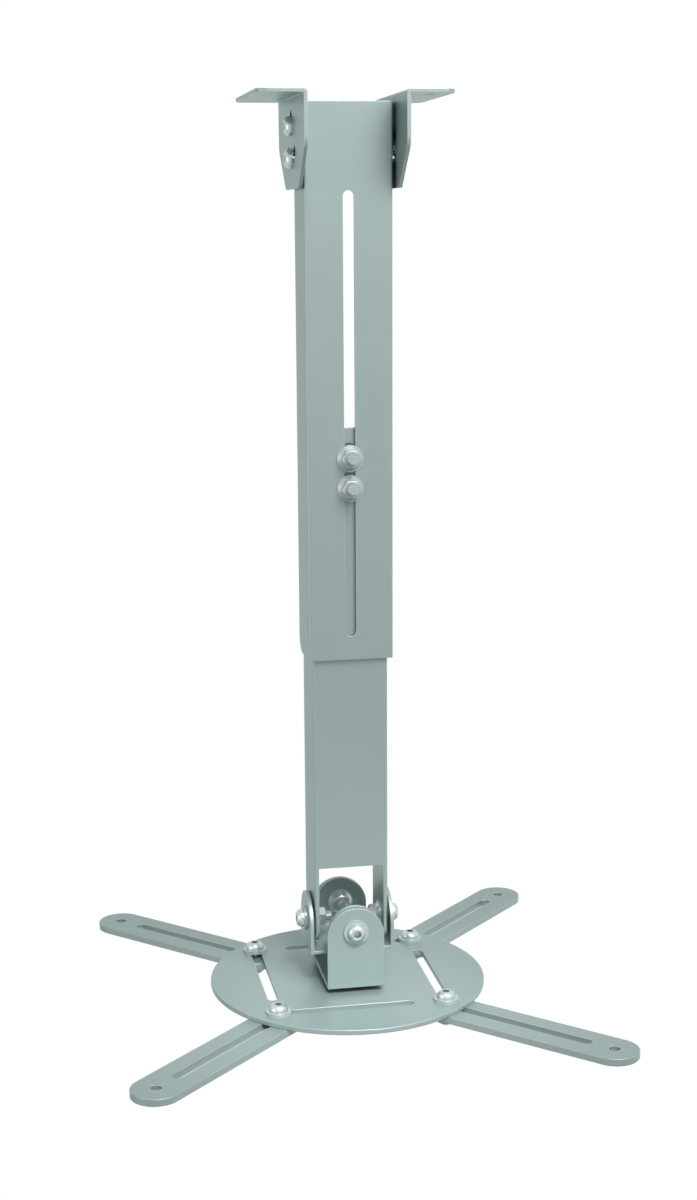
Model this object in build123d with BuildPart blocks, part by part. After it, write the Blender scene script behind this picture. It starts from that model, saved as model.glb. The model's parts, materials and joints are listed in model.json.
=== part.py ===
# Projector ceiling mount: two ceiling brackets, a telescopic pole of two folded
# channels, a two-axis joint and a slotted round plate that carries four arms.
# Frame: millimetres, +Z up, the slotted front of the pole faces -Y, and the origin
# lies on the ceiling, straight above the axis on which the plate swivels.
import os
from math import cos, radians, sin, sqrt, tan

from build123d import *

os.makedirs("parts", exist_ok=True)

# Fasteners
screw_d = 6.0            # M6 shank
screw_hole_d = 6.5       # clearance hole, and the width of every slot
screw_chamfer = 0.5      # at the end of each shank
thread_gap = 0.05        # between a shank and the bore of its nut or washer
head_d = 11.0            # button head
head_h = 4.1
head_rim = 0.7
head_flat_d = 5.2
socket_af = 4.0
socket_depth = 2.2
head_washer_d = 15.0     # under the heads at the joint and on the plate
head_washer_t = 1.8
nut_af = 10.0            # flange nut
nut_h = 6.0
nut_chamfer = 0.7        # height of the 30 degree chamfer on a hexagon
nut_flange_d = 15.6
nut_flange_rise = 2.4    # height of the cone from the flange up to the hexagon
nut_flange_edge = 0.6
dome_d = 16.5            # round head of the height bolts
dome_h = 3.9
dome_rim = 0.6
dome_neck = 6.2          # square neck that keeps the bolt from turning in its slot
dome_neck_h = 4.6
shank_past_nut = 1.6
joint_past_nut = 4.0     # at the tilt and roll screws
height_past_nut = 5.0

# Ceiling brackets
ceiling_slope = 1.0      # degrees, the ceiling falls towards the back
bracket_t = 2.0
bracket_length = 91.0
bracket_bend = 0.4       # inside radius of a fold
bracket_fold_r = 2.2     # outside radius
flange_reach = 27.3      # from the tab's inner face to the flange's free edge
flange_corner = 6.0
tab_height = 51.2
tab_straight = 28.7
tab_tip_width = 44.0
tab_shoulder_r = 8.0
tab_tip_r = 3.0
spacer_t = 2.1           # between the pole's wall and the tab
spacer_d = 12.0
pivot_drop = 17.3        # from the ceiling to the upper screw
pivot_slot_rise = 5.3    # the upper hole is drawn out towards the ceiling
lock_radius = 17.5       # from the upper screw to the lower one
lock_arc = 38.0          # degrees of the lower slot to each side
ceiling_hole_d = 7.0
ceiling_hole_pitch = 60.0

# Outer channel
outer_w = 50.0
outer_d = 33.6
outer_t = 2.5
outer_length = 314.0
outer_front = -18.6      # Y of the front face
outer_bend = 0.4
outer_fold_r = 1.2
outer_corner = 10.0
outer_above_pivot = 12.9
slot_from_top = 47.5
slot_from_bottom = 13.8

# Inner channel
slide_gap = 0.3
inner_d = 33.9
inner_t = 2.5
inner_length = 311.0
inner_bend = 0.4
inner_fold_r = 1.2
inner_below_top = 179.1  # how far the pole is pulled out: outer top to inner top
clamp_from_top = 17.0    # inner top to the upper height bolt
clamp_pitch = 17.3
clamp_slot_past = 5.0    # slot beyond each height bolt's centre
leg_cut = 47.6           # height of the opening between the legs
leg_corner = 8.0
leg_below_axis = 11.6

# Joint bracket, four ears folded up from one floor
joint_t = 2.0
joint_bend = 0.4
joint_fold_r = 1.0
leg_washer_t = 1.3       # between a leg and its ear
leg_washer_d = 12.0
joint_floor_below = 15.0  # joint axes to the top of the floor
side_ear_w = 37.5
side_ear_top = 16.2      # above the axis
cross_ear_r = 15.0
cross_ear_span = 52.8    # outside of the front ear to outside of the back ear

# Yoke under the joint bracket
yoke_t = 2.5
yoke_bend = 0.4
yoke_fold_r = 0.8
yoke_w = 34.3
yoke_ear_top = 14.3      # above the axis
yoke_floor_below = 33.6  # joint axes to the top of the floor
ear_washer_t = 0.6
ear_washer_d = 13.0

# Swivel
swivel_d = 8.0
swivel_chamfer = 0.7
swivel_hole_d = 8.4
swivel_head_af = 13.0
swivel_head_h = 5.3
swivel_nut_h = 6.5
swivel_washer_d = 30.0
swivel_washer_t = 3.2

# Plate
plate_d = 168.0
plate_t = 3.2
plate_edge = 0.5
arm_bolt_offset = 50.5   # X and Y of each arm bolt at rest
plate_slot_travel = 78.5

# Arms
arm_w = 29.0
arm_t = 4.5
arm_edge = 0.5
arm_reach = 112.0        # arm bolt at rest to the projector hole
arm_slot_to_hole = 17.6  # outer end of the slot to the projector hole
arm_hole_d = 6.5

# Places that follow from the sizes
slope_cos = cos(radians(ceiling_slope))
slope_sin = sin(radians(ceiling_slope))
pivot_y = outer_front + outer_d / 2
pivot_z = -(pivot_drop + pivot_y * slope_sin) / slope_cos
lock_z = pivot_z - lock_radius
outer_top = pivot_z + outer_above_pivot
outer_bottom = outer_top - outer_length
outer_face_x = outer_w / 2
tab_inner_x = outer_face_x + spacer_t
tab_outer_x = tab_inner_x + bracket_t
inner_w = outer_w - 2 * (outer_t + slide_gap)
inner_front = outer_front + outer_t + slide_gap
inner_top = outer_top - inner_below_top
inner_bottom = inner_top - inner_length
axis_z = inner_bottom + leg_below_axis
clamp_z = [inner_top - clamp_from_top, inner_top - clamp_from_top - clamp_pitch]
leg_x = inner_w / 2
side_ear_x = leg_x + leg_washer_t + joint_t
joint_floor_top = axis_z - joint_floor_below
yoke_span = cross_ear_span + 2 * (ear_washer_t + yoke_t)
yoke_floor_top = axis_z - yoke_floor_below
plate_top = yoke_floor_top - yoke_t - swivel_washer_t
plate_bottom = plate_top - plate_t
arm_bottom = plate_bottom - arm_t
arm_bolt_r = arm_bolt_offset * sqrt(2)
corners = {"back_right": 45, "back_left": 135, "front_left": 225, "front_right": 315}


def save(part, name):
    """Label a finished piece and write its STEP file."""
    part.label = name
    export_step(part, f"parts/{name}.step")


def button_screw(grip, past_nut):
    """Button-head screw along Z, its head seated on z = 0, holding grip and a flange nut."""
    shank = grip + nut_h + past_nut
    with BuildPart() as screw:
        with BuildSketch(Plane.XZ):
            with BuildLine():
                Line((0, 0), (head_d / 2, 0))
                Line((head_d / 2, 0), (head_d / 2, head_rim))
                EllipticalCenterArc(
                    (head_flat_d / 2, head_rim),
                    (head_d - head_flat_d) / 2,
                    head_h - head_rim,
                    start_angle=0,
                    arc_size=90,
                )
                Line((head_flat_d / 2, head_h), (0, head_h))
                Line((0, head_h), (0, 0))
            make_face()
        revolve(axis=Axis.Z)
        with BuildSketch(Plane.XY.offset(head_h)):
            RegularPolygon(socket_af / 2, 6, major_radius=False)
        extrude(amount=-socket_depth, mode=Mode.SUBTRACT)
        with BuildSketch():
            Circle(screw_d / 2)
        extrude(amount=-shank)
        chamfer(screw.edges().sort_by(Axis.Z)[0], screw_chamfer)
    return screw.part


def hexagon(across_flats, height):
    """Solid hexagon standing on z = 0 with the corners of its top face turned off."""
    corner_r = across_flats / 2 / cos(radians(30))
    chamfer_run = nut_chamfer / tan(radians(30))
    with BuildPart() as block:
        with BuildSketch():
            RegularPolygon(across_flats / 2, 6, major_radius=False)
        extrude(amount=height)
        with BuildSketch(Plane.XZ):
            with BuildLine():
                Polyline(
                    (0, 0),
                    (corner_r, 0),
                    (corner_r, height - nut_chamfer),
                    (corner_r - chamfer_run, height),
                    (0, height),
                    close=True,
                )
            make_face()
        revolve(axis=Axis.Z, mode=Mode.INTERSECT)
    return block.part


def hex_nut(across_flats, height, bore):
    """Plain nut standing on z = 0."""
    with BuildPart() as nut:
        add(hexagon(across_flats, height))
        with BuildSketch():
            Circle(bore / 2)
        extrude(amount=height, mode=Mode.SUBTRACT)
    return nut.part


def flange_nut():
    """Flange nut seated on z = 0 for the common screw."""
    on_seat = (Align.CENTER, Align.CENTER, Align.MIN)
    with BuildPart() as nut:
        add(hexagon(nut_af, nut_h))
        Cone(nut_flange_d / 2, nut_af / 2, nut_flange_rise, align=on_seat)
        Cylinder(nut_flange_d / 2, nut_flange_edge, align=on_seat)
        Cylinder(nut_bore / 2, nut_h, align=on_seat, mode=Mode.SUBTRACT)
    return nut.part


def ring(outer, inner, thickness):
    """Flat washer or spacer standing on z = 0."""
    with BuildPart() as washer:
        with BuildSketch():
            Circle(outer / 2)
            Circle(inner / 2, mode=Mode.SUBTRACT)
        extrude(amount=thickness)
    return washer.part


def group(piece, seats):
    """Copies of one fastener, one on each seat plane."""
    with BuildPart() as copies:
        with Locations(*[seat.location for seat in seats]):
            add(piece)
    return copies.part


def channel(width, depth, wall, bend, fold_r, front, top, length):
    """Folded channel with its web in front and open at the back."""
    with BuildPart() as fold:
        with BuildSketch(Plane.XY.offset(top)):
            with Locations((0, front + depth / 2)):
                Rectangle(width, depth)
            with Locations((0, front + wall + depth / 2)):
                Rectangle(width - 2 * wall, depth, mode=Mode.SUBTRACT)
        extrude(amount=-length)
        fillet(fold.edges().filter_by(Axis.Z).group_by(Axis.Y)[1], bend)
        fillet(fold.edges().filter_by(Axis.Z).group_by(Axis.Y)[0], fold_r)
    return fold.part


def folded_ears(span, width, wall, bend, fold_r, floor_top, ear_top):
    """Strip along X folded up into two round-topped ears, span wide over the outside."""
    ear_r = width / 2
    with BuildPart() as strip:
        with BuildSketch(Plane.XZ):
            with Locations((0, floor_top - wall)):
                Rectangle(span, ear_top - floor_top + wall, align=(Align.CENTER, Align.MIN))
            with Locations((0, floor_top)):
                Rectangle(
                    span - 2 * wall,
                    ear_top - floor_top,
                    align=(Align.CENTER, Align.MIN),
                    mode=Mode.SUBTRACT,
                )
        extrude(amount=width / 2, both=True)
        fillet(strip.edges().filter_by(Axis.Y).group_by(Axis.Z)[1], bend)
        fillet(strip.edges().filter_by(Axis.Y).group_by(Axis.Z)[0], fold_r)
        with BuildSketch(Plane.YZ):
            with Locations((0, floor_top - wall)):
                Rectangle(
                    width, ear_top - ear_r - floor_top + wall, align=(Align.CENTER, Align.MIN)
                )
            with Locations((0, ear_top - ear_r)):
                Circle(ear_r)
        extrude(amount=span, both=True, mode=Mode.INTERSECT)
    return strip.part


# Common fasteners
nut_bore = screw_d + 2 * thread_gap
nut = flange_nut()

# Ceiling brackets: the local plane lies on the upper screw, tilted with the ceiling
along_slope = (0, slope_cos, -slope_sin)
tab_plane = Plane((tab_inner_x, pivot_y, pivot_z), x_dir=along_slope, z_dir=(1, 0, 0))
ceiling_plane = Plane(
    Vector(0, pivot_y, pivot_z) + Vector(0, slope_sin, slope_cos) * pivot_drop,
    x_dir=(1, 0, 0),
    z_dir=(0, slope_sin, slope_cos),
)
flange_mid_x = (tab_outer_x + tab_inner_x + flange_reach) / 2
lock_line = CenterArc((0, 0), lock_radius, 270 - lock_arc, 2 * lock_arc)

with BuildPart() as right_bracket:
    with BuildSketch(tab_plane) as tab:
        with BuildLine():
            Polyline(
                (-bracket_length / 2, pivot_drop),
                (bracket_length / 2, pivot_drop),
                (bracket_length / 2, pivot_drop - tab_straight),
                (tab_tip_width / 2, pivot_drop - tab_height),
                (-tab_tip_width / 2, pivot_drop - tab_height),
                (-bracket_length / 2, pivot_drop - tab_straight),
                close=True,
            )
        make_face()
        fillet(tab.vertices().group_by(Axis.Y)[1], tab_shoulder_r)
        fillet(tab.vertices().group_by(Axis.Y)[0], tab_tip_r)
        with Locations((0, pivot_slot_rise / 2)):
            SlotCenterToCenter(pivot_slot_rise, screw_hole_d, rotation=90, mode=Mode.SUBTRACT)
        SlotArc(lock_line, screw_hole_d, mode=Mode.SUBTRACT)
    extrude(amount=bracket_t)
    with BuildSketch(ceiling_plane) as flange:
        with Locations((tab_inner_x, 0)):
            Rectangle(flange_reach, bracket_length, align=(Align.MIN, Align.CENTER))
        fillet(flange.vertices().group_by(Axis.X)[-1], flange_corner)
        with Locations((flange_mid_x, 0)):
            with GridLocations(0, ceiling_hole_pitch, 1, 2):
                Circle(ceiling_hole_d / 2, mode=Mode.SUBTRACT)
    extrude(amount=-bracket_t)
    fold_way = Axis((0, 0, 0), along_slope)
    inner_fold = right_bracket.edges().filter_by(fold_way).group_by(Axis.X)[1]
    fillet(inner_fold.sort_by(Axis.Z)[-1], bracket_bend)
    outer_fold = right_bracket.edges().filter_by(fold_way).group_by(Axis.X)[0]
    fillet(outer_fold.sort_by(Axis.Z)[-1], bracket_fold_r)
save(right_bracket.part, "right_ceiling_bracket")

with BuildPart() as left_bracket:
    mirror(right_bracket.part, about=Plane.YZ)
save(left_bracket.part, "left_ceiling_bracket")

# Bracket screws run through tab, spacer and channel wall into nuts inside the pole
bracket_grip = bracket_t + spacer_t + outer_t
sides = [-1, 1]
pivot_seats = [Plane((s * tab_outer_x, pivot_y, pivot_z), z_dir=(s, 0, 0)) for s in sides]
lock_seats = [Plane((s * tab_outer_x, pivot_y, lock_z), z_dir=(s, 0, 0)) for s in sides]
spacer_seats = [seat.offset(-bracket_t - spacer_t) for seat in pivot_seats + lock_seats]
wall_seats = [
    Plane((s * (outer_face_x - outer_t), pivot_y, z), z_dir=(-s, 0, 0))
    for s in sides
    for z in (pivot_z, lock_z)
]
bracket_screw = button_screw(bracket_grip, shank_past_nut)
save(group(bracket_screw, pivot_seats), "bracket_pivot_screws")
save(group(bracket_screw, lock_seats), "bracket_lock_screws")
save(group(ring(spacer_d, nut_bore, spacer_t), spacer_seats), "bracket_spacers")
save(group(nut, wall_seats), "bracket_nuts")

# Outer channel
front_plane = Plane.XZ.offset(-outer_front)
slot_z = [
    outer_top - slot_from_top - screw_hole_d / 2,
    outer_bottom + slot_from_bottom + screw_hole_d / 2,
]
with BuildPart() as outer_channel:
    add(
        channel(
            outer_w,
            outer_d,
            outer_t,
            outer_bend,
            outer_fold_r,
            outer_front,
            outer_top,
            outer_length,
        )
    )
    with BuildSketch(front_plane):
        with Locations((0, sum(slot_z) / 2)):
            SlotCenterToCenter(slot_z[0] - slot_z[1], screw_hole_d, rotation=90)
    extrude(amount=-2 * outer_t, mode=Mode.SUBTRACT)
    with BuildSketch(Plane.YZ):
        with Locations((pivot_y, pivot_z), (pivot_y, lock_z)):
            Circle(screw_hole_d / 2)
    extrude(amount=outer_w, both=True, mode=Mode.SUBTRACT)
    wall_ends = outer_channel.edges().filter_by(Axis.X).group_by(Axis.Y)[-1]
    fillet(wall_ends, outer_corner)
save(outer_channel.part, "outer_channel")

# Inner channel, with its clamp slot and the two legs left by the opening at its foot
with BuildPart() as inner_channel:
    add(
        channel(
            inner_w,
            inner_d,
            inner_t,
            inner_bend,
            inner_fold_r,
            inner_front,
            inner_top,
            inner_length,
        )
    )
    with BuildSketch(front_plane):
        with Locations((0, sum(clamp_z) / 2)):
            SlotCenterToCenter(clamp_pitch + 2 * clamp_slot_past, screw_hole_d, rotation=90)
    extrude(amount=-outer_d / 2, mode=Mode.SUBTRACT)
    with BuildSketch(front_plane):
        with Locations((0, inner_bottom)):
            Rectangle(inner_w - 2 * inner_t, 2 * leg_cut)
    extrude(amount=-outer_d / 2, mode=Mode.SUBTRACT)
    with BuildSketch(Plane.YZ) as side_view:
        with Locations((inner_front, inner_bottom)):
            Rectangle(inner_d, inner_length, align=(Align.MIN, Align.MIN))
        fillet(side_view.vertices().group_by(Axis.Y)[0], leg_corner)
        with Locations((0, axis_z)):
            Circle(screw_hole_d / 2, mode=Mode.SUBTRACT)
    extrude(amount=inner_w, both=True, mode=Mode.INTERSECT)
save(inner_channel.part, "inner_channel")

# Height bolts: round heads inside the pole, square necks in the clamp slot, nuts in front
clamp_grip = inner_t + slide_gap + outer_t
with BuildPart() as height_bolt:
    with BuildSketch(Plane.XZ):
        with BuildLine():
            Polyline((0, dome_h), (0, 0), (dome_d / 2, 0), (dome_d / 2, dome_rim))
            TangentArc((0, dome_h), (dome_d / 2, dome_rim), tangent=(1, 0))
        make_face()
    revolve(axis=Axis.Z)
    with BuildSketch():
        Rectangle(dome_neck, dome_neck)
    extrude(amount=-dome_neck_h)
    with BuildSketch():
        Circle(screw_d / 2)
    extrude(amount=-(clamp_grip + nut_h + height_past_nut))
    chamfer(height_bolt.edges().sort_by(Axis.Z)[0], screw_chamfer)
web_seats = [
    Plane((0, inner_front + inner_t, z), x_dir=(1, 0, 0), z_dir=(0, 1, 0)) for z in clamp_z
]
front_seats = [Plane((0, outer_front, z), x_dir=(1, 0, 0), z_dir=(0, -1, 0)) for z in clamp_z]
save(group(height_bolt.part, web_seats), "height_bolts")
save(group(nut, front_seats), "height_nuts")

# Joint bracket: a pair of ears outside the legs and a pair across them, on one floor
with BuildPart() as joint_bracket:
    add(
        folded_ears(
            2 * side_ear_x,
            side_ear_w,
            joint_t,
            joint_bend,
            joint_fold_r,
            joint_floor_top,
            axis_z + side_ear_top,
        )
    )
    cross_ears = folded_ears(
        cross_ear_span,
        2 * cross_ear_r,
        joint_t,
        joint_bend,
        joint_fold_r,
        joint_floor_top,
        axis_z + cross_ear_r,
    )
    add(cross_ears, rotation=(0, 0, 90))
    for across in (Plane.YZ, Plane.XZ):
        with BuildSketch(across):
            with Locations((0, axis_z)):
                Circle(screw_hole_d / 2)
        extrude(amount=cross_ear_span, both=True, mode=Mode.SUBTRACT)
save(joint_bracket.part, "joint_bracket")

# Tilt screws: head, stout washer, ear, washer, leg, nut
head_washer = ring(head_washer_d, nut_bore, head_washer_t)
tilt_grip = head_washer_t + joint_t + leg_washer_t + inner_t
tilt_seats = [Plane((s * side_ear_x, 0, axis_z), z_dir=(s, 0, 0)) for s in sides]
leg_seats = [Plane((s * leg_x, 0, axis_z), z_dir=(s, 0, 0)) for s in sides]
leg_nut_seats = [Plane((s * (leg_x - inner_t), 0, axis_z), z_dir=(-s, 0, 0)) for s in sides]
tilt_head_seats = [seat.offset(head_washer_t) for seat in tilt_seats]
save(group(button_screw(tilt_grip, joint_past_nut), tilt_head_seats), "tilt_screws")
save(group(head_washer, tilt_seats), "tilt_head_washers")
save(group(ring(leg_washer_d, nut_bore, leg_washer_t), leg_seats), "tilt_washers")
save(group(nut, leg_nut_seats), "tilt_nuts")

# Yoke: its ears stand outside the cross ears and it hangs from them on the roll screws
with BuildPart() as yoke:
    folded_yoke = folded_ears(
        yoke_span,
        yoke_w,
        yoke_t,
        yoke_bend,
        yoke_fold_r,
        yoke_floor_top,
        axis_z + yoke_ear_top,
    )
    add(folded_yoke, rotation=(0, 0, 90))
    with BuildSketch(Plane.XZ):
        with Locations((0, axis_z)):
            Circle(screw_hole_d / 2)
    extrude(amount=yoke_span, both=True, mode=Mode.SUBTRACT)
    with BuildSketch(Plane.XY.offset(yoke_floor_top)):
        Circle(swivel_hole_d / 2)
    extrude(amount=-2 * yoke_t, mode=Mode.SUBTRACT)
save(yoke.part, "yoke")

# Roll screws: head, stout washer, yoke ear, thin washer, cross ear, nut
roll_grip = head_washer_t + yoke_t + ear_washer_t + joint_t
cross_face = cross_ear_span / 2
roll_seats = [Plane((0, s * yoke_span / 2, axis_z), z_dir=(0, s, 0)) for s in sides]
ear_seats = [Plane((0, s * cross_face, axis_z), z_dir=(0, s, 0)) for s in sides]
ear_nut_seats = [Plane((0, s * (cross_face - joint_t), axis_z), z_dir=(0, -s, 0)) for s in sides]
roll_head_seats = [seat.offset(head_washer_t) for seat in roll_seats]
save(group(button_screw(roll_grip, joint_past_nut), roll_head_seats), "roll_screws")
save(group(head_washer, roll_seats), "roll_head_washers")
save(group(ring(ear_washer_d, nut_bore, ear_washer_t), ear_seats), "roll_washers")
save(group(nut, ear_nut_seats), "roll_nuts")

# Swivel bolt through yoke, thick washer and plate
swivel_bore = swivel_d + 2 * thread_gap
swivel_shank = yoke_t + swivel_washer_t + plate_t + swivel_nut_h + shank_past_nut
with BuildPart() as swivel_bolt:
    add(hexagon(swivel_head_af, swivel_head_h))
    with BuildSketch():
        Circle(swivel_d / 2)
    extrude(amount=-swivel_shank)
    chamfer(swivel_bolt.edges().sort_by(Axis.Z)[0], swivel_chamfer)
swivel_nut = hex_nut(swivel_head_af, swivel_nut_h, swivel_bore)
swivel_washer = ring(swivel_washer_d, swivel_bore, swivel_washer_t)
save(group(swivel_bolt.part, [Plane.XY.offset(yoke_floor_top)]), "swivel_bolt")
save(group(swivel_washer, [Plane.XY.offset(plate_top)]), "swivel_washer")
save(group(swivel_nut, [Plane((0, 0, plate_bottom), z_dir=(0, 0, -1))]), "swivel_nut")

# Plate: four slots set pinwheel fashion, each with an arm bolt at its outer end
slot_middle = arm_bolt_offset - plate_slot_travel / 2
with BuildPart() as mounting_plate:
    with BuildSketch(Plane.XY.offset(plate_bottom)):
        Circle(plate_d / 2)
    extrude(amount=plate_t)
    fillet(mounting_plate.edges(), plate_edge)
    with BuildSketch(Plane.XY.offset(plate_top)):
        Circle(swivel_hole_d / 2)
        with PolarLocations(arm_bolt_offset, len(corners)):
            with Locations((0, -slot_middle)):
                SlotCenterToCenter(plate_slot_travel, screw_hole_d, rotation=90)
    extrude(amount=-plate_t, mode=Mode.SUBTRACT)
save(mounting_plate.part, "mounting_plate")

# Arms: each hangs under the plate on its own screw, washer and nut
arm_grip = head_washer_t + plate_t + arm_t
arm_slot_travel = arm_reach - arm_slot_to_hole
arm_screw = button_screw(arm_grip, shank_past_nut)
for corner, angle in corners.items():
    bolt_x = arm_bolt_r * cos(radians(angle))
    bolt_y = arm_bolt_r * sin(radians(angle))
    outward = (cos(radians(angle)), sin(radians(angle)), 0)
    arm_plane = Plane((bolt_x, bolt_y, plate_bottom), x_dir=outward)
    with BuildPart() as arm:
        with BuildSketch(arm_plane):
            with Locations((arm_reach / 2, 0)):
                SlotCenterToCenter(arm_reach, arm_w)
        extrude(amount=-arm_t)
        fillet(arm.faces().sort_by(Axis.Z)[-1].edges(), arm_edge)
        fillet(arm.faces().sort_by(Axis.Z)[0].edges(), arm_edge)
        with BuildSketch(arm_plane):
            with Locations((arm_slot_travel / 2, 0)):
                SlotCenterToCenter(arm_slot_travel, screw_hole_d)
            with Locations((arm_reach, 0)):
                Circle(arm_hole_d / 2)
        extrude(amount=-arm_t, mode=Mode.SUBTRACT)
    save(arm.part, f"arm_{corner}")
    washer_seat = Plane((bolt_x, bolt_y, plate_top))
    nut_seat = Plane((bolt_x, bolt_y, arm_bottom), z_dir=(0, 0, -1))
    save(group(arm_screw, [washer_seat.offset(head_washer_t)]), f"arm_screw_{corner}")
    save(group(head_washer, [washer_seat]), f"arm_washer_{corner}")
    save(group(nut, [nut_seat]), f"arm_nut_{corner}")
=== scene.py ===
"""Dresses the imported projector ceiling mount: satin silver paint on the folded steel, bright zinc on the
fasteners, threads on the screws, the web between the two height bolts, and a plain white studio seen
from the photograph's view. Metres throughout."""
import json
import math

import bpy
import numpy as np
from mathutils import Matrix, Vector


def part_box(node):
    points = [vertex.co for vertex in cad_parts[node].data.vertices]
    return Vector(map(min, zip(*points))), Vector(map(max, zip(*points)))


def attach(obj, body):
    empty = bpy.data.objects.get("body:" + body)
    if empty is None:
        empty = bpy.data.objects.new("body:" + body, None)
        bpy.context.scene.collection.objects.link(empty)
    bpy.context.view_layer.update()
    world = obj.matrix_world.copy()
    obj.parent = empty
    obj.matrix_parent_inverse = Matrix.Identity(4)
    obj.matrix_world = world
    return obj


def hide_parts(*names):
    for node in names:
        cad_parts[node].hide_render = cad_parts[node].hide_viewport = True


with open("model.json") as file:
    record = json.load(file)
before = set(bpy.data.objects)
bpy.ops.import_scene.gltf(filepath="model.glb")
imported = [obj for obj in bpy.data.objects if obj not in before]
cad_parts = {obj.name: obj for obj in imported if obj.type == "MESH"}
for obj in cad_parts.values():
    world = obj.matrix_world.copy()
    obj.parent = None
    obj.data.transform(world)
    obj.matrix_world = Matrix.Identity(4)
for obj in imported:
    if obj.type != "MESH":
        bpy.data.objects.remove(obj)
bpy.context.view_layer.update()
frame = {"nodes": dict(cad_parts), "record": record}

MM = 0.001

# Screws and clamp slot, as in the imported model
SHANK_R = 3.0 * MM
SHANK_CHAMFER = 0.5 * MM
NUT_HEIGHT = 6.0 * MM
PAST_BRACKET_NUT = 1.6 * MM
PAST_JOINT_NUT = 4.0 * MM
HEAD_R = 5.5 * MM
HEAD_HEIGHT = 4.1 * MM
HEAD_RIM = 0.7 * MM
HEAD_FLAT_R = 2.6 * MM
SOCKET_FLAT = 2.0 * MM
SOCKET_DEPTH = 2.2 * MM
DOME_R = 8.25 * MM
DOME_HEIGHT = 3.9 * MM
DOME_RIM = 0.6 * MM
NECK = 6.2 * MM
NECK_DEPTH = 4.6 * MM
CLAMP_SLOT = 6.5 * MM

# Threads and socket bevels, which are made here alone
SOCKET_BEVEL = 0.15 * MM
THREAD_PITCH = 1.0 * MM
THREAD_DEPTH = 0.45 * MM
PLAIN_SHANK = 2.2 * MM
TIP_R = SHANK_R - THREAD_DEPTH - SHANK_CHAMFER / 2

# Fineness of the screws
AROUND = 48
RINGS_PER_TURN = 8
HEAD_RINGS = 9
CROWN_SHARE = 0.12
SHARP_ANGLE = math.radians(32)

# Pieces by place and by finish: the joint's hardware takes a paler zinc as painted light, and the gap pieces
# take painted shade
CORNERS = ("back_right", "back_left", "front_left", "front_right")
JOINT_HARDWARE = ("tilt_nuts", "tilt_washers", "roll_nuts", "roll_washers")
GAP_SHADED_PIECES = ("left_ceiling_bracket", "right_ceiling_bracket", "yoke")

# Silver paint
PAINT_LOW = (0.330, 0.415, 0.408, 1.0)
PAINT_HIGH = (0.382, 0.470, 0.462, 1.0)
# Paler colour of the edges: a painted highlight
PAINT_EDGE_HIGHLIGHT = (0.74, 0.82, 0.81, 1.0)
PAINT_SHEEN = (0.66, 0.85, 0.83, 1.0)
PAINT_METALLIC = 0.40
PAINT_SPECULAR = 0.15
PAINT_ROUGHNESS = 0.34
FLAKE_SHARE = 0.6
PEEL_STRENGTH = 0.05
PEEL_HEIGHT = 0.1 * MM
EDGE_RADIUS = 0.45 * MM
EDGE_SAMPLES = 12
# How fast the painted highlight comes on at the edges
EDGE_HIGHLIGHT_GAIN = 5.0

# Drawn marks of the zinc, and how far tone moves the roughness of zinc and paint
MARK_STRENGTH = 0.04
MARK_HEIGHT = 0.05 * MM
ROUGHNESS_SPREAD = 0.08

# Noise patterns, as scale and detail
DRIFT = (22.0, 3.0)
FLAKE = (3200.0, 1.0)
PEEL = (700.0, 2.0)
CLOUD = (180.0, 2.0)
MARKS = (1900.0, 2.0)

# Painted shade in gaps: how far it looks, the open share below which it starts, and how fast it comes
PAINT_GAP_SHADE = (9.0 * MM, 0.55, 2.6)
ZINC_GAP_SHADE = (4.0 * MM, 0.62, 1.8)
GAP_SHADE_COLOUR = (0.018, 0.024, 0.024, 1.0)
GAP_SAMPLES = 8

# Camera, fitted to the photograph
CAMERA_AT = (-0.20546, -1.12103, -0.05590)
CAMERA_YAW = 0.18286
CAMERA_PITCH = 0.23423
CAMERA_ROLL = -0.00593
CAMERA_LENS = 59.163
CAMERA_SENSOR = 36.0
CAMERA_SHIFT = 0.05675

# Studio
WHITE = (1.0, 1.0, 1.0, 1.0)
LIGHT_FROM_FLOOR = 0.115
LIGHT_FROM_ROOM = 0.03
FLOOR_SIDE = 8.0
FLOOR_Z = -2.4
MOUNT_MIDDLE = (0.0, 0.0, -0.28)
JOINT_FRONT = (0.0, -0.085, -0.510)
SOFT_LAMP_SIDE = 0.9
SPOT_LAMP_R = 0.1


class Shade:
    """A shader socket. Arithmetic on it adds Math nodes, and node() adds any other node to its tree."""

    def __init__(self, tree, socket=None):
        self.tree = tree
        self.socket = socket

    def node(self, kind, settings=None, inputs=None, out=0):
        made = self.tree.nodes.new(kind)
        for key, value in (settings or {}).items():
            setattr(made, key, value)
        for key, value in (inputs or {}).items():
            if isinstance(value, Shade):
                self.tree.links.new(value.socket, made.inputs[key])
            else:
                made.inputs[key].default_value = value
        return Shade(self.tree, made.outputs[out])

    def math(self, operation, *values):
        return self.node("ShaderNodeMath", {"operation": operation}, dict(enumerate(values)))

    def __add__(self, other):
        return self.math("ADD", self, other)

    __radd__ = __add__

    def __sub__(self, other):
        return self.math("SUBTRACT", self, other)

    def __rsub__(self, other):
        return self.math("SUBTRACT", other, self)

    def __mul__(self, other):
        return self.math("MULTIPLY", self, other)

    __rmul__ = __mul__

    def blend(self, low, high):
        """Colour from low, where this value is 0 or less, to high, where it is 1 or more."""
        settings = {"data_type": "RGBA", "clamp_factor": True}
        return self.node("ShaderNodeMix", settings, {"Factor": self, 6: low, 7: high}, out=2)

    def noise(self, scale, detail):
        """Noise over the places that this vector gives."""
        inputs = {"Vector": self, "Scale": scale, "Detail": detail}
        return self.node("ShaderNodeTexNoise", None, inputs)


def empty_material(name):
    """New material with an empty tree, as (material, first Shade of its tree)."""
    material = bpy.data.materials.new(name)
    material.use_nodes = True
    material.node_tree.nodes.clear()
    return material, Shade(material.node_tree)


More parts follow.
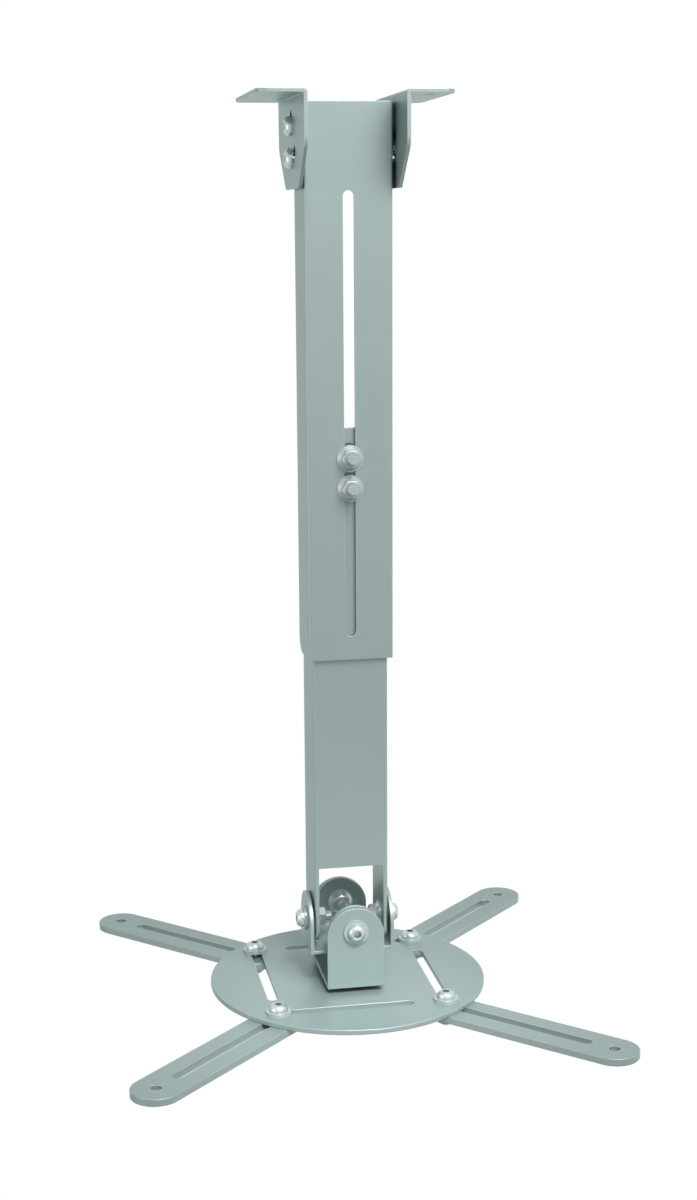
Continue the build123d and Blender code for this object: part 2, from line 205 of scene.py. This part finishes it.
def surface(tree, shader):
    """Ends a tree in its output node."""
    output = tree.tree.nodes.new("ShaderNodeOutputMaterial")
    tree.tree.links.new(shader.socket, output.inputs["Surface"])


def gap_shade(colour, reach, open_at, gain, own):
    """Colour with painted shade in gaps and sockets, where less than open_at of the room is open out to
    reach.
    With own, only the piece's own faces close a gap."""
    settings = {"samples": GAP_SAMPLES, "only_local": own}
    share = colour.node("ShaderNodeAmbientOcclusion", settings, {"Distance": reach}, out="AO")
    return ((open_at - share) * gain).blend(colour, GAP_SHADE_COLOUR)


def silver_paint(name, by_gaps):
    """Satin silver-green paint: slow drift of tone, fine metal flake, orange peel, and paler edges from a
    painted highlight.
    With by_gaps, it darkens with painted shade where another piece lies close to it."""
    material, tree = empty_material(name)
    place = tree.node("ShaderNodeTexCoord", out="Object")
    drift = place.noise(*DRIFT)
    tone = drift * (1.0 - FLAKE_SHARE) + place.noise(*FLAKE) * FLAKE_SHARE
    rounded = tree.node("ShaderNodeBevel", {"samples": EDGE_SAMPLES}, {"Radius": EDGE_RADIUS})
    flat = tree.node("ShaderNodeNewGeometry", out="Normal")
    dot = {"operation": "DOT_PRODUCT"}
    along = tree.node("ShaderNodeVectorMath", dot, {0: rounded, 1: flat}, out="Value")
    # Painted highlight: paler where the rounded normal turns from the flat one, along the edges
    edge_highlight = (1.0 - along) * EDGE_HIGHLIGHT_GAIN
    colour = edge_highlight.blend(tone.blend(PAINT_LOW, PAINT_HIGH), PAINT_EDGE_HIGHLIGHT)
    # Painted shade where another piece lies close
    if by_gaps:
        colour = gap_shade(colour, *PAINT_GAP_SHADE, own=False)
    peel = {"Strength": PEEL_STRENGTH, "Distance": PEEL_HEIGHT, "Height": place.noise(*PEEL)}
    peel["Normal"] = rounded
    shader = tree.node(
        "ShaderNodeBsdfPrincipled",
        None,
        {
            "Base Color": colour,
            "Metallic": PAINT_METALLIC,
            "Specular IOR Level": PAINT_SPECULAR,
            "Specular Tint": PAINT_SHEEN,
            "Roughness": PAINT_ROUGHNESS + drift * ROUGHNESS_SPREAD,
            "Normal": tree.node("ShaderNodeBump", None, peel),
        },
    )
    surface(tree, shader)
    return material


def zinc_plate(name, low, high, metallic, specular, roughness):
    """Zinc plate with slightly cloudy tone and roughness and fine drawn marks, and painted shade in its own
    sockets.
    """
    material, tree = empty_material(name)
    place = tree.node("ShaderNodeTexCoord", out="Object")
    cloud = place.noise(*CLOUD)
    marks = {"Strength": MARK_STRENGTH, "Distance": MARK_HEIGHT, "Height": place.noise(*MARKS)}
    shader = tree.node(
        "ShaderNodeBsdfPrincipled",
        None,
        {
            # Painted shade in the piece's own sockets and inner corners
            "Base Color": gap_shade(cloud.blend((*low, 1.0), (*high, 1.0)), *ZINC_GAP_SHADE, own=True),
            "Metallic": metallic,
            "Specular IOR Level": specular,
            "Roughness": roughness + cloud * ROUGHNESS_SPREAD,
            "Normal": tree.node("ShaderNodeBump", None, marks),
        },
    )
    surface(tree, shader)
    return material


def new_piece(name, points, faces, material):
    """Object at the origin whose mesh has these points and faces, in one material."""
    mesh = bpy.data.meshes.new(name)
    mesh.from_pydata(points.tolist(), [], faces)
    mesh.materials.append(material)
    piece = bpy.data.objects.new(name, mesh)
    bpy.context.scene.collection.objects.link(piece)
    return piece


def hexagon_radius(angle, half_flat):
    """Radius of a hexagon at each angle: half_flat over the cosine of the angle from the nearest flat."""
    sixth = math.pi / 3
    return half_flat / np.cos((angle + sixth / 2) % sixth - sixth / 2)


def square_radius(angle, half_side):
    """Radius of a square at each angle: half_side over the larger of the sine and cosine."""
    return half_side / np.maximum(np.abs(np.cos(angle)), np.abs(np.sin(angle)))


def button_head(angle):
    """Rings (height, radius) of a button head with a hexagon socket, from the socket floor to the seat.
    The dome is a quarter ellipse from the flat to the rim."""
    socket = hexagon_radius(angle, SOCKET_FLAT)
    sweep = np.linspace(math.pi / 2, 0, HEAD_RINGS)
    dome_r = HEAD_FLAT_R + (HEAD_R - HEAD_FLAT_R) * np.cos(sweep)
    dome_z = HEAD_RIM + (HEAD_HEIGHT - HEAD_RIM) * np.sin(sweep)
    rings = [
        (HEAD_HEIGHT - SOCKET_DEPTH, socket),
        (HEAD_HEIGHT - SOCKET_BEVEL, socket),
        (HEAD_HEIGHT, socket + SOCKET_BEVEL),
    ]
    rings += [(z, np.full_like(angle, r)) for z, r in zip(dome_z, dome_r)]
    rings += [(0.0, np.full_like(angle, HEAD_R)), (0.0, np.full_like(angle, SHANK_R))]
    return rings


def dome_head(angle):
    """Rings of a round head with a square neck. The dome is a parabola from the crown to the rim: its
    height falls with the square of the radius."""
    share = np.linspace(CROWN_SHARE, 1.0, HEAD_RINGS)
    dome_r = DOME_R * share
    dome_z = DOME_HEIGHT - (DOME_HEIGHT - DOME_RIM) * share**2
    neck = square_radius(angle, NECK / 2)
    rings = [(z, np.full_like(angle, r)) for z, r in zip(dome_z, dome_r)]
    rings += [(0.0, np.full_like(angle, DOME_R)), (0.0, neck), (-NECK_DEPTH, neck)]
    rings += [(-NECK_DEPTH, np.full_like(angle, SHANK_R))]
    return rings


def shank_rings(angle, start, length):
    """Rings of a threaded shank from start down to length. The radius falls by the thread's depth as a
    triangle wave of (depth over pitch plus angle over a turn), so the grooves wind as a helix."""
    threaded = length - SHANK_CHAMFER - start
    steps = max(2, int(round(threaded / THREAD_PITCH * RINGS_PER_TURN)))
    depth = np.linspace(start, length - SHANK_CHAMFER, steps + 1)[1:]
    wave = np.abs(2 * ((depth[:, None] / THREAD_PITCH + angle / (2 * math.pi)) % 1.0) - 1)
    runout = np.clip((depth - start) / THREAD_PITCH, 0, 1)[:, None]
    radius = SHANK_R - THREAD_DEPTH * wave * runout
    rings = [(-d, r) for d, r in zip(depth, radius)]
    rings.append((-length, np.full_like(angle, TIP_R)))
    return rings


def screw_mesh(head, seats, length, plain):
    """Vertices and faces of one screw at each seat. Each is a stack of rings about its axis, joined by
    quads, with a fan of triangles to a pole at each end. A seat is a point and the way its head faces."""
    angle = np.linspace(0, 2 * math.pi, AROUND, endpoint=False)
    rings = head(angle) + shank_rings(angle, plain, length)
    height = np.array([z for z, _ in rings])[:, None] * np.ones(AROUND)
    radius = np.stack([r for _, r in rings])
    local = np.stack([radius * np.cos(angle), radius * np.sin(angle), height], -1).reshape(-1, 3)
    poles = np.array([[0, 0, rings[0][0]], [0, 0, rings[-1][0]]])
    if head is dome_head:
        poles[0, 2] = DOME_HEIGHT
    local = np.vstack([local, poles])
    row, column = np.meshgrid(np.arange(len(rings) - 1), np.arange(AROUND), indexing="ij")
    after = (column + 1) % AROUND
    quads = np.stack([
        row * AROUND + column,
        (row + 1) * AROUND + column,
        (row + 1) * AROUND + after,
        row * AROUND + after,
    ], -1).reshape(-1, 4)
    step = np.arange(AROUND)
    ahead = (step + 1) % AROUND
    top, tip = len(local) - 2, len(local) - 1
    last = (len(rings) - 1) * AROUND
    crown = np.stack([np.full(AROUND, top), step, ahead], -1)
    point = np.stack([np.full(AROUND, tip), last + ahead, last + step], -1)
    points, faces = [], []
    for seat, facing in seats:
        turn = np.array(Vector(facing).to_track_quat("Z", "Y").to_matrix())
        base = len(points) * len(local)
        points.append(local @ turn.T + np.array(seat))
        faces += (quads + base).tolist() + (crown + base).tolist() + (point + base).tolist()
    return np.vstack(points), faces


def threaded_screws(node, body, seats, length, head=button_head, plain=PLAIN_SHANK):
    """Threaded screws that stand for a node of plain ones."""
    finish = zinc if head is button_head else dull_zinc
    points, faces = screw_mesh(head, seats, length, plain)
    piece = new_piece(node + "_threaded", points, faces, finish)
    piece.data.polygons.foreach_set("use_smooth", np.ones(len(faces), bool))
    piece.data.set_sharp_from_angle(angle=SHARP_ANGLE)
    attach(piece, body)
    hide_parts(node)


def side_screws(node, nuts, body, past_nut):
    """A pair of screws along X, their heads outwards and their nuts inside."""
    low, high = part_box(node)
    middle = (low + high) / 2
    seat_x = high.x - HEAD_HEIGHT
    length = seat_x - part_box(nuts)[1].x + NUT_HEIGHT + past_nut
    seats = [((side * seat_x, middle.y, middle.z), (side, 0, 0)) for side in (-1, 1)]
    threaded_screws(node, body, seats, length)


def dress_screws():
    """Every screw that shows its shank or its socket."""
    side_screws("bracket_pivot_screws", "bracket_nuts", "outer_pole", PAST_BRACKET_NUT)
    side_screws("bracket_lock_screws", "bracket_nuts", "outer_pole", PAST_BRACKET_NUT)
    side_screws("tilt_screws", "tilt_nuts", "joint", PAST_JOINT_NUT)

    low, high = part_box("roll_screws")
    seat_y = high.y - HEAD_HEIGHT
    middle_z = (low.z + high.z) / 2
    length = seat_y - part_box("roll_nuts")[1].y + NUT_HEIGHT + PAST_JOINT_NUT
    seats = [((0, side * seat_y, middle_z), (0, side, 0)) for side in (-1, 1)]
    threaded_screws("roll_screws", "joint", seats, length)

    low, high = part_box("height_bolts")
    seat_y = high.y - DOME_HEIGHT
    length = seat_y - low.y
    seats = [((0, seat_y, z), (0, 1, 0)) for z in (high.z - DOME_R, low.z + DOME_R)]
    threaded_screws("height_bolts", "inner_pole", seats, length, dome_head, NECK_DEPTH)

    for corner in CORNERS:
        low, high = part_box("arm_screw_" + corner)
        middle = (low + high) / 2
        seat_z = high.z - HEAD_HEIGHT
        seats = [((middle.x, middle.y, seat_z), (0, 0, 1))]
        threaded_screws("arm_screw_" + corner, "arm_bolt_" + corner, seats, seat_z - low.z)


def clamp_bridge():
    """Steel of the inner channel's web between the two height bolts, which shows between their nuts. It is a
    flat block: its corners are every mix of the low and high ends of its spans in x, y and z."""
    low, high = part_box("height_bolts")
    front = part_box("inner_channel")[0].y
    back = high.y - DOME_HEIGHT
    reach = DOME_R + NECK / 2
    spans = ((-CLAMP_SLOT / 2, CLAMP_SLOT / 2), (front, back), (low.z + reach, high.z - reach))
    points = np.stack(np.meshgrid(*spans, indexing="ij"), -1).reshape(-1, 3)
    # A corner's number is 4 at the high end of x, plus 2 at that of y, plus 1 at that of z
    faces = [(0, 1, 3, 2), (4, 6, 7, 5), (0, 4, 5, 1), (2, 3, 7, 6), (0, 2, 6, 4), (1, 5, 7, 3)]
    piece = new_piece("clamp_bridge", points, faces, paint)
    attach(piece, "inner_pole")


def dress_nodes():
    """Gives each carried-over CAD node the finish that its record names."""
    finish = {part["node"]: part["material_slot"] for part in frame["record"]["subparts"]}
    for name, node in frame["nodes"].items():
        node.data.materials.clear()
        # The joint's nuts and washers take the paler zinc, as painted light
        metal = joint_zinc_painted_lit if name in JOINT_HARDWARE else dull_zinc
        # The gap pieces take the paint with painted shade where other pieces lie close
        painted = gap_shaded_paint if name in GAP_SHADED_PIECES else paint
        node.data.materials.append(painted if finish[name] == "silver_paint" else metal)


def studio_white(tree, ambient):
    """Strength of a white that is full to the camera and in reflections, and ambient as light on the
    object."""
    camera = tree.node("ShaderNodeLightPath", out="Is Camera Ray")
    glossy = tree.node("ShaderNodeLightPath", out="Is Glossy Ray")
    through = tree.node("ShaderNodeLightPath", out="Is Transmission Ray")
    seen = tree.math("MAXIMUM", tree.math("MAXIMUM", camera, glossy), through)
    return seen * (1.0 - ambient) + ambient


def studio_world():
    """White all round, with a little light on the object."""
    world = bpy.data.worlds.new("studio_world")
    world.use_nodes = True
    world.node_tree.nodes.clear()
    tree = Shade(world.node_tree)
    strength = studio_white(tree, LIGHT_FROM_ROOM)
    light = tree.node("ShaderNodeBackground", None, {"Color": WHITE, "Strength": strength})
    output = world.node_tree.nodes.new("ShaderNodeOutputWorld")
    world.node_tree.links.new(light.socket, output.inputs["Surface"])
    bpy.context.scene.world = world


def white_floor():
    """Plain floor of the room under the mount: a level square, which lights the undersides."""
    material, tree = empty_material("white_floor")
    strength = studio_white(tree, LIGHT_FROM_FLOOR)
    surface(tree, tree.node("ShaderNodeEmission", None, {"Color": WHITE, "Strength": strength}))
    across, along = np.meshgrid((-FLOOR_SIDE / 2, FLOOR_SIDE / 2), (-FLOOR_SIDE / 2, FLOOR_SIDE / 2))
    points = np.stack([across, along, np.full_like(across, FLOOR_Z)], -1).reshape(-1, 3)
    new_piece("white_floor", points, [(0, 1, 3, 2)], material)


def hang_lamp(name, data, at, target):
    """Puts a lamp in the scene, facing a point."""
    lamp = bpy.data.objects.new(name, data)
    lamp.location = at
    lamp.rotation_euler = (Vector(target) - Vector(at)).to_track_quat("-Z", "Y").to_euler()
    bpy.context.scene.collection.objects.link(lamp)
    return lamp


def soft_lamp(name, at, watts, mirrored=True):
    """Square area lamp that faces the middle of the mount. One that isn't mirrored gives no highlights."""
    data = bpy.data.lights.new(name, "AREA")
    data.shape = "SQUARE"
    data.size = SOFT_LAMP_SIDE
    data.energy = watts
    hang_lamp(name, data, at, MOUNT_MIDDLE).visible_glossy = mirrored


def spot_lamp(name, at, target, degrees, watts):
    """Spot lamp that fades from its axis to the edge of its cone."""
    data = bpy.data.lights.new(name, "SPOT")
    data.spot_size = math.radians(degrees)
    data.spot_blend = 1.0
    data.shadow_soft_size = SPOT_LAMP_R
    data.energy = watts
    hang_lamp(name, data, at, target)


def photo_camera():
    """Camera at the photograph's view, its axes worked out from yaw, pitch and roll."""
    forward = Vector((
        math.sin(CAMERA_YAW) * math.cos(CAMERA_PITCH),
        math.cos(CAMERA_YAW) * math.cos(CAMERA_PITCH),
        -math.sin(CAMERA_PITCH),
    ))
    level = Vector((math.cos(CAMERA_YAW), -math.sin(CAMERA_YAW), 0.0))
    above = level.cross(forward)
    right = math.cos(CAMERA_ROLL) * level + math.sin(CAMERA_ROLL) * above
    up = math.cos(CAMERA_ROLL) * above - math.sin(CAMERA_ROLL) * level
    data = bpy.data.cameras.new("photo_camera")
    data.sensor_width = CAMERA_SENSOR
    data.lens = CAMERA_LENS
    data.shift_y = CAMERA_SHIFT
    camera = bpy.data.objects.new("photo_camera", data)
    turn = Matrix((right, up, -forward)).transposed().to_4x4()
    camera.matrix_world = Matrix.Translation(CAMERA_AT) @ turn
    bpy.context.scene.collection.objects.link(camera)
    bpy.context.scene.camera = camera


# Finishes
paint = silver_paint("satin_silver_paint", by_gaps=False)
# Paint with painted shade where other pieces lie close
gap_shaded_paint = silver_paint("satin_silver_paint_gap_shaded", by_gaps=True)
zinc = zinc_plate(
    "bright_zinc", (0.50, 0.57, 0.56), (0.58, 0.65, 0.64), metallic=0.75, specular=0.5, roughness=0.28
)
# Paler, more metallic copy of the nuts' zinc for the nuts and washers in the joint, which sit in shade; its
# paler colour is painted light
joint_zinc_painted_lit = zinc_plate(
    "joint_zinc_painted_lit", (0.58, 0.63, 0.63), (0.66, 0.71, 0.71), metallic=0.75, specular=0.5, roughness=0.25
)
dull_zinc = zinc_plate(
    "dull_zinc", (0.42, 0.49, 0.49), (0.50, 0.57, 0.57), metallic=0.30, specular=0.4, roughness=0.32
)

# Pieces
dress_nodes()
dress_screws()
clamp_bridge()

# Studio and camera
studio_world()
white_floor()
soft_lamp("key", at=(0.60, -1.30, 0.75), watts=14.2)
soft_lamp("high_key", at=(0.20, -1.00, 1.10), watts=14.2)
soft_lamp("left_fill", at=(-1.20, -0.50, -0.25), watts=4.2)
soft_lamp("right_fill", at=(1.20, 0.20, -0.50), watts=8.0, mirrored=False)
soft_lamp("back_fill", at=(-0.10, 1.40, -0.50), watts=18.0, mirrored=False)
spot_lamp("joint_spot", at=(0.05, -0.80, 0.35), target=JOINT_FRONT, degrees=9.5, watts=76.0)
photo_camera()
bpy.context.scene.view_settings.view_transform = "Standard"
